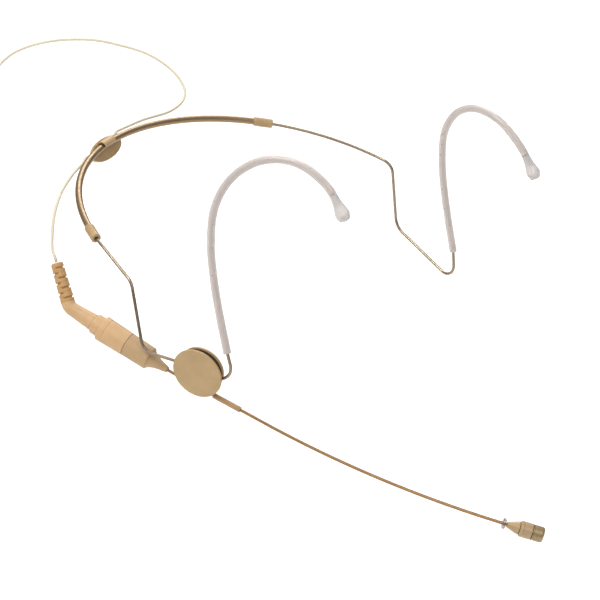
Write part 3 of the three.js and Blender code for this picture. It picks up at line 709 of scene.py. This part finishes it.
def add_hub():
    axis = straight(hub_axis_frame(hub_matrix()))
    r = HUB["r"]
    inner, rim, top, boss = COVER["inner"], COVER["rim"], COVER["top"], COVER["boss_r"]
    front = rounded([(inner, 0), (inner, boss), (rim, boss), (rim, r, 0.3), (top, r, 0.35),
                     (top - 0.1, r - 0.8, 0.3), (top, r - 1.3, 0.3), (top, 0)], 0.12, 5)
    along("hub_front_cover", axis, front, TAN, "right_side", ["hub_front_cover"], "tan_plastic", sides=96,
          step=0.9)
    bottom, under, back_r = COVER["back_bottom"], COVER["back_top"], HUB["back_r"]
    bore = 1.75
    back = rounded([(bottom, bore), (bottom, back_r), (under, back_r), (under, bore), (bottom, bore)],
                   0.25, 5)[:-1]
    along("hub_back_cover", axis, back, TAN, "hub_swivel", ["hub_back_cover"], "tan_plastic", sides=96,
          step=0.9, closed=True)
    # Painted shade: a thin dark disc on the back cover's inner face darkens the gap between the covers, where
    # the inside lies in shade.
    painted_shade_disc = pipe_profile(under - 0.03, under + 0.1, back_r - 0.6, bore, 0.03)
    along("hub_painted_shade_disc", axis, painted_shade_disc, DARK, "hub_swivel", (), "dark_plastic", sides=72, closed=True)
    rivet = rounded([(-3.25, 0), (-3.25, 0.9, 0.1), (-3.1, 1.2, 0.1), (-3.25, 1.5, 0.1), (-3.25, 2.4, 0.25),
                     (-2.7, 2.7), (-2.7, 0)], 0.12)
    along("hub_rivet", axis, rivet, NICKEL, "right_side", ["hub_rivet"], "nickel", sides=48, step=0.5)


# ---- boom, capsule ----
def boom_points():
    roll = math.radians(BOOM["bend_roll"])
    behind = socket_turn().to_3x3() @ -X_AXIS
    bend = Vector((SOCKET["bend"] + SOCKET["forward"], 0, 0))
    in_socket, through_hub, steps = (14.4, 8, 0.7), (-10.4, 0, 10, 20), 90
    points = [bend + behind * s for s in in_socket]
    points += [Vector((x, 0, 0)) for x in through_hub]
    for k in range(steps + 1):
        a = BOOM["curved"] * k / steps / BOOM["bend_r"]
        side = BOOM["bend_r"] * (1 - math.cos(a))
        points.append(Vector((BOOM["lead"] + BOOM["bend_r"] * math.sin(a), side * math.cos(roll),
                              -side * math.sin(roll))))
    return points


def capsule_matrix():
    a = BOOM["curved"] / BOOM["bend_r"]
    roll = math.radians(BOOM["bend_roll"])
    ahead = Vector((math.cos(a), math.sin(a) * math.cos(roll), -math.sin(a) * math.sin(roll)))
    turn = X_AXIS.rotation_difference(ahead).to_matrix().to_4x4()
    return boom_matrix() @ Matrix.Translation(boom_points()[-1]) @ turn


def add_gauze(tip):
    """Two crossed sets of fine wires, each passing over and under the other."""
    r, pitch, wire, wave = 2.02, 0.36, 0.07, 0.065
    front = 12.52
    count = int(r / pitch)
    lines = []
    for cross in (False, True):
        for k in range(-count, count + 1):
            offset = k * pitch
            half = math.sqrt(r * r - offset * offset)
            steps = max(6, round(half * 2 / pitch * 4))
            points = []
            for i in range(steps + 1):
                t = -half + 2 * half * i / steps
                lift = wave * math.cos(math.pi * (t / pitch + k)) * (-1 if cross else 1)
                flat = (offset, t) if cross else (t, offset)
                points.append(tip @ Vector((front + lift, *flat)))
            lines.append(Line(points))
    vertices, faces = [], []
    sides = 6
    for line in lines:
        first = len(vertices)
        for s in line.lengths:
            p, n, b = line.at(s)
            for j in range(sides):
                a = 2 * math.pi * j / sides
                vertices.append((p + (n * math.cos(a) + b * math.sin(a)) * wire) * MM)
        rows = len(line.lengths)
        for i in range(rows - 1):
            for j in range(sides):
                q = (j + 1) % sides
                at = first + i * sides
                faces.append((at + j, at + q, at + sides + q, at + sides + j))
        faces.append(tuple(first + j for j in reversed(range(sides))))
        faces.append(tuple(first + (rows - 1) * sides + j for j in range(sides)))
    mesh = bpy.data.meshes.new("cap_gauze")
    mesh.from_pydata(vertices, [], faces)
    new_object("cap_gauze", mesh, NICKEL, "capsule_cap", ())


def add_boom():
    place = boom_matrix()
    boom = Line([place @ p for p in boom_points()])
    along("boom_tube", boom, rod_profile(0, boom.length, BOOM["r"], 0.1), BOOM_PAINT, "boom", ["boom_tube"],
          "copper_paint", sides=24, step=0.9)
    sleeve = pipe_profile(start=6.6, end=17.5, r=1.02, bore=0.7, fillet=0.14)
    along("boom_sleeve", straight(place), sleeve, SLEEVE_COPPER, "hub_swivel", ["boom_sleeve"],
          "copper_paint", sides=32, step=1.0, closed=True)
    tip_frame = capsule_matrix()
    tip = straight(tip_frame)
    ring_at, ring_r, section_r, steps = -1.3, 1.32, 0.62, 20
    ring = [(ring_at + section_r * math.cos(a), ring_r + section_r * math.sin(a))
            for a in (2 * math.pi * k / steps for k in range(steps))]
    along("drip_ring", tip, ring[::-1], RING_CLEAR, "boom", ["drip_ring"], "clear_silicone", sides=48,
          closed=True)
    cone = rounded([(-0.3, 0), (-0.3, 0.95), (0, 1.08), (3.9, 2.38), (4.15, 2.3), (4.15, 0)], 0.12)
    along("capsule_cone", tip, cone, CAPSULE, "boom", ["capsule_cone"], "tan_plastic", step=0.4)
    body = rounded([(4.3, 0), (4.3, 2.5), (4.55, 2.85), (5.5, 2.85, 0.05), (5.6, 2.72, 0.05),
                    (5.85, 2.72, 0.05), (5.95, 2.85, 0.05), (8.6, 2.85), (8.6, 2.2), (5.3, 2.2),
                    (5.3, 0)], 0.12)
    along("capsule_body", tip, body, CAPSULE, "boom", ["capsule_body"], "tan_plastic", sides=64, step=0.5)
    cap = rounded([(8.85, 2.25), (8.85, 2.78), (9.35, 2.78, 0.04), (9.42, 2.7, 0.04), (9.6, 2.7, 0.04),
                   (9.67, 2.78, 0.04), (12.3, 2.78, 0.3), (12.8, 2.4, 0.2), (12.8, 2.05, 0.1),
                   (12.55, 1.98), (12.2, 1.98), (12.2, 2.25), (8.85, 2.25)], 0.1)[:-1]
    along("mesh_cap", tip, cap, BRASS, "capsule_cap", ["mesh_cap"], "capsule_metal", sides=64, step=0.5,
          closed=True)
    along("cap_felt", tip, rod_profile(11.85, 12.25, 1.95, 0.08), FELT, "capsule_cap", (), "dark_plastic",
          step=0.3)
    add_gauze(tip_frame)


# ---- socket, plug and boot ----
def add_socket():
    place = socket_matrix()
    axis = straight(place)
    tip, front, seam, ring_end, collar = (SOCKET[k] for k in ("tip", "front", "seam", "ring", "collar"))
    cone = rounded([(tip, 0.67), (tip, 1.0), (tip - 0.9, 1.25, 0.4), (-16, 1.7, 0.8), (-18, 2.3, 0.8),
                    (-19.3, 3, 0.5), (front + 0.02, 3.6, 0.1), (front + 0.02, 0.67), (tip, 0.67)], 0.12)[:-1]
    along("socket_cone", axis, cone[::-1], TAN_DARK, "boom", ["socket_cone"], "tan_plastic", sides=56,
          step=0.5, closed=True)
    housing = rounded([(front, 0.9), (front, 3.8), (front - 0.4, 4.15, 0.25), (seam + 0.06, 4.3),
                       (seam + 0.06, 3.3), (-36, 3.3), (-36, 2.6), (-23, 2.6), (-23, 0.9), (front, 0.9)],
                      0.12)[:-1]
    along("socket_housing", axis, housing[::-1], TAN_DARK, "boom", ["socket_housing"], "tan_plastic",
          sides=72, step=0.7, closed=True)
    ring = rounded([(ring_end, 2.3), (ring_end, 4.4), (ring_end + 0.35, 4.65), (ring_end + 2.4, 4.6, 0.05),
                    (ring_end + 2.5, 4.5, 0.05), (ring_end + 2.8, 4.5, 0.05), (ring_end + 2.9, 4.58, 0.05),
                    (seam - 0.06, 4.35), (seam - 0.06, 3.6), (-39.6, 3.6), (-39.6, 2.3), (ring_end, 2.3)],
                   0.12)[:-1]
    along("coupling_ring", axis, ring[::-1], PEACH, "plug_ring", ["coupling_ring"], "peach_plastic", sides=72,
          step=0.7, closed=True)
    plug = rounded([(collar, 0), (collar, 3.2), (collar + 0.5, 3.7, 0.4), (ring_end - 0.08, 3.7),
                    (ring_end - 0.08, 2), (-39.3, 2), (-39.3, 3.3), (-37.2, 3.3), (-37.2, 0)], 0.15)
    along("plug_collar", axis, plug[::-1], PEACH, "boom", ["plug_collar"], "peach_plastic", sides=64,
          step=0.7)

    corner, boot_axis, angle = boot_frame()
    start = Vector((collar + 0.1, 0, 0))
    end = corner + boot_axis * ELBOW["straight"]
    bend = Line([place @ p for p in rounded_path([(start, 0), (corner, ELBOW["bend_r"]), (end, 0)], 3)],
                place.to_3x3().col[1])
    taper = start.x - ELBOW["corner"] - 2
    elbow = rounded([(0, 0), (0, ELBOW["base_r"], 0.3), (taper, ELBOW["r"], 1.5),
                     (bend.length, ELBOW["r"], 0.1), (bend.length, 0)], 0.1)
    along("plug_elbow", bend, elbow, PEACH, "boom", ["plug_elbow"], "peach_plastic", sides=56, step=0.35)
    add_boot(place @ Matrix.Translation(end) @ Matrix.Rotation(angle, 4, "Z"))


def add_boot(place):
    """A strain relief whose half slots alternate between its two sides, so the ribs bulge a little."""
    count, width, depth = 7, 0.52, 0.5
    pitch = (ELBOW["boot"] - 1.6) / count
    starts = [1.25 + i * pitch for i in range(count)]
    profile = [(-0.1, 0), (-0.1, 2.45), (0.1, 2.5), (ELBOW["boot"] - 0.35, 2.15), (ELBOW["boot"], 1.85),
               (ELBOW["boot"], 0)]

    def radius(s, angle, r):
        for i, x in enumerate(starts):
            if x - 0.1 < s < x + width + 0.1:
                edge = ease((s - x + 0.1) / 0.16) * ease((x + width + 0.1 - s) / 0.16)
                facing = math.cos(angle) * (1 if i % 2 else -1)
                return r - depth * edge * ease((facing + 0.35) / 0.5)
        share = ((s - starts[0] - width / 2) / pitch) % 1
        return r + 0.07 * math.sin(math.pi * share) if 0.5 < s < ELBOW["boot"] - 0.5 and r > 1.9 else r

    along("ribbed_boot", straight(place), profile, RUBBER, "boom", ["ribbed_boot"], "peach_rubber", sides=96,
          step=0.07, radius=radius, sharp=40)


# ---- coil tie and jack ----
def coil_matrix():
    return basis(coil_axis, COIL["side"], UP, COIL["centre"])


def add_tie():
    """A strap round the coil's section."""
    width, thick = 2.8, 0.4
    half_x = coil_half_width + CABLE_R + 0.72
    half_z = coil_outer_r - COIL["r"] + CABLE_R + 0.7
    place = coil_matrix() @ Matrix.Rotation(-math.radians(COIL["tie_angle"]), 4, "X")
    place = place @ Matrix.Translation((0, 0, COIL["r"]))
    corner_r = 0.9
    centres = [(1, 1, 0), (-1, 1, 90), (-1, -1, 180), (1, -1, 270)]
    loop = []
    for sx, sz, start in centres:
        for k in range(7):
            a = math.radians(start + 15 * k)
            loop.append((Vector((sx * (half_x - corner_r) + corner_r * math.cos(a), 0,
                                 sz * (half_z - corner_r) + corner_r * math.sin(a))),
                         Vector((math.cos(a), 0, math.sin(a)))))
    section = [(-1, -0.6), (-0.94, -1), (0.94, -1), (1, -0.6), (1, 0.6), (0.94, 1), (-0.94, 1), (-1, 0.6)]
    rings = [[place @ (p + Vector((0, width / 2 * w, 0)) + out * (thick / 2 * t)) for w, t in section]
             for p, out in loop]
    return new_object("coil_strap", skin_mesh("coil_strap", rings, closed=True), FELT, "neckband",
                      ["coil_tie"])


def add_jack():
    down = Matrix.Translation((coil_half_width, coil_outer_r, 0)) @ Matrix.Rotation(math.pi / 2, 4, "Y")
    place = coil_matrix() @ down
    axis = straight(place)
    base = JACK_DROP + 0.3

    def shift(profile):
        return [(base + p[0], *p[1:]) for p in profile]

    pieces = []
    boot = [(0, 0), (0, 0.85), (0.3, 1)]
    for k in range(5):
        x = 1.4 + 1.6 * k
        r = 1.05 + 0.1 * x
        boot += [(x, r), (x + 0.1, r - 0.25), (x + 0.55, r - 0.22), (x + 0.65, r + 0.05)]
    boot += [(10, 2), (11.4, 2.55), (11.7, 2.6), (11.7, 0)]
    pieces.append(along("jack_boot", axis, shift(boot), DARK, "neckband", ["jack_boot"], "dark_plastic",
                        sides=48, step=0.6))
    shell = rounded([(12, 0), (12, 3), (12.4, 3.4), (24.4, 3.4, 0.1), (24.6, 3.25, 0.1), (25.6, 3.25),
                     (25.6, 1.9), (28.5, 1.9), (28.5, 0)], 0.15)
    pieces.append(along("jack_shell", axis, shift(shell), NICKEL, "neckband", ["jack_shell"], "nickel",
                        sides=64, step=0.8))
    ring = rounded([(25.9, 2.2), (25.9, 3.75), (26.1, 3.9), (32.1, 3.9), (32.5, 3.6), (32.5, 3.1),
                    (28.8, 3.1), (28.8, 2.2), (25.9, 2.2)], 0.12)[:-1]
    teeth = 40

    def knurl(s, angle, r):
        across = base + 26.6 < s < base + 31.6 and r > 3.7
        return r - (0.14 * abs(math.sin(teeth * angle / 2)) if across else 0)

    pieces.append(along("jack_locking_ring", axis, shift(ring), NICKEL, "jack_ring", ["jack_locking_ring"],
                        "nickel", sides=240, step=0.5, radius=knurl, closed=True, sharp=50))
    sleeve = rounded([(28.8, 0), (28.8, 1.75), (33.2, 1.75, 0.05), (33.3, 1.7, 0.05), (33.9, 1.7, 0.05),
                      (34, 1.75, 0.05), (38.6, 1.75), (38.6, 0)], 0.08)
    pieces.append(along("jack_sleeve", axis, shift(sleeve), GOLD, "neckband", ["jack_sleeve"], "gold",
                        sides=48, step=0.8))
    pieces.append(along("jack_insulator", axis, shift([(38.8, 0), (38.8, 1.7), (39.5, 1.7), (39.5, 0)]), DARK,
                        "neckband", ["jack_insulator"], "dark_plastic", sides=40))
    tip = rounded([(39.7, 0), (39.7, 1.75), (40.5, 1.75, 0.2), (41.3, 1.25, 0.4), (42.1, 1.7, 0.5),
                   (43.9, 0.5, 0.3), (44, 0)], 0.1, 6)
    pieces.append(along("jack_tip", axis, shift(tip), GOLD, "neckband", ["jack_tip"], "gold", sides=48,
                        step=0.3))
    return pieces


# ---- CAD nodes that stay ----
def keep_nodes():
    finishes = {
        "bush_right": DARK, "bush_left": DARK, "right_wire_stop": STEEL, "left_wire_stop": STEEL,
        "hub_wire_clamp": TAN, "hub_friction_washer": DARK, "boom_guide": TAN, "mic_element": NICKEL,
        "socket_insert": DARK, "plug_pins": GOLD, "clip_plate": CAP_TAN, "clip_saddle": CAP_TAN,
    }
    for name, material in finishes.items():
        node = frame["nodes"][name]
        node.data.materials.clear()
        node.data.materials.append(material)
        if name.startswith("clip"):
            remesh = node.modifiers.new("moulded_form", "REMESH")
            remesh.mode = "VOXEL"
            remesh.voxel_size = 0.13 * MM
            remesh.use_smooth_shade = True
            soften = node.modifiers.new("eased_edges", "SMOOTH")
            soften.factor = 0.6
            soften.iterations = 6


# ---- setting ----
def add_setting():
    low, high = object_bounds()
    centre = (low + high) / 2
    floor_z = low.z - 0.12
    mesh = bpy.data.meshes.new("floor")
    size = 12
    mesh.from_pydata([(-size, -size, floor_z), (size, -size, floor_z), (size, size, floor_z),
                      (-size, size, floor_z)], [], [(0, 1, 2, 3)])
    f = Finish("floor", roughness=0.9)
    f.link(f.blend(f.noise(3, 2), (0.93, 0.93, 0.93, 1), (0.95, 0.95, 0.95, 1)), "Base Color")
    mesh.materials.append(f.material)
    floor = bpy.data.objects.new("floor", mesh)
    bpy.context.scene.collection.objects.link(floor)

    world = bpy.data.worlds.new("studio")
    bpy.context.scene.world = world
    world.use_nodes = True
    nodes, links = world.node_tree.nodes, world.node_tree.links
    direction = nodes.new("ShaderNodeTexCoord").outputs["Generated"]
    split = nodes.new("ShaderNodeSeparateXYZ")
    links.new(direction, split.inputs[0])
    height = nodes.new("ShaderNodeMapRange")
    links.new(split.outputs["Z"], height.inputs["Value"])
    for label, value in (("From Min", 0.05), ("From Max", 0.75), ("To Min", 0.16), ("To Max", 0.85)):
        height.inputs[label].default_value = value
    links.new(height.outputs["Result"], nodes["Background"].inputs["Strength"])
    nodes["Background"].inputs["Color"].default_value = (1, 1, 1, 1)
    for name, offset, power, width in (
        ("key", (-0.75, 0.3, 1.25), 15, 0.55),
        ("fill", (-0.7, -0.9, 0.9), 5, 0.8),
        ("back", (1.0, 0.6, 1.1), 12, 0.9),
    ):
        data = bpy.data.lights.new(name, "AREA")
        data.energy = power
        data.size = width
        light = bpy.data.objects.new(name, data)
        bpy.context.scene.collection.objects.link(light)
        light.location = centre + Vector(offset)
        light.rotation_mode = "QUATERNION"
        light.rotation_quaternion = (-Vector(offset)).to_track_quat("-Z", "Y")
    bpy.context.scene.view_settings.view_transform = "Standard"


add_neckband()
add_side("right")
add_side("left")
add_hub()
add_boom()
add_socket()
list(add_jack())
add_tie()
keep_nodes()
add_setting()
